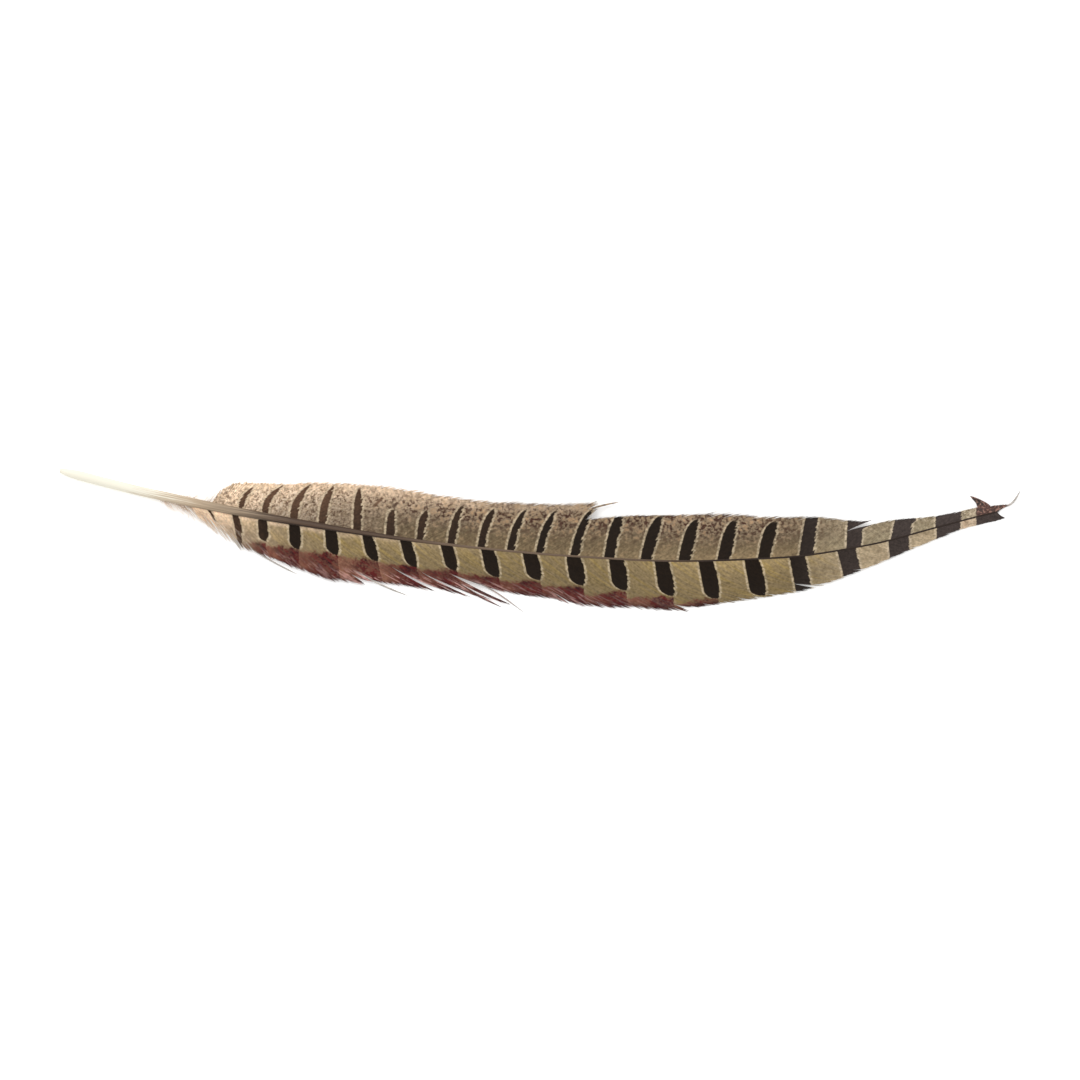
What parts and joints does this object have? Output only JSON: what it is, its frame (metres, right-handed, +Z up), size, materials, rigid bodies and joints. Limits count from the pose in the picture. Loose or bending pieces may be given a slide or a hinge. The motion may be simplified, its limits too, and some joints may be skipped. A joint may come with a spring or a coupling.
{
  "type": "pheasant tail feather",
  "caption": "Long pheasant tail feather lying flat: a bare quill, a tapering shaft and two barred vanes with frayed margins and a torn notch.",
  "frame": {"origin": "on the surface that the feather lies on, under the middle of its length and width", "axes": "+X from the quill towards the tip, +Y towards the speckled vane with the torn notch, +Z up out of the upper side"},
  "size_m": [0.3024, 0.0453, 0.0069],
  "materials": {
    "barbs": "fine hooked keratin barbs, buff and olive with black-brown bars and a maroon margin, soft sheen",
    "quill": "smooth ivory keratin, grey-brown along the shaft",
    "down": "loose fluffy barbs, pinkish tan"
  },
  "bodies": {
    "root": {"feather": "barbs"}
  },
  "joints": []
}
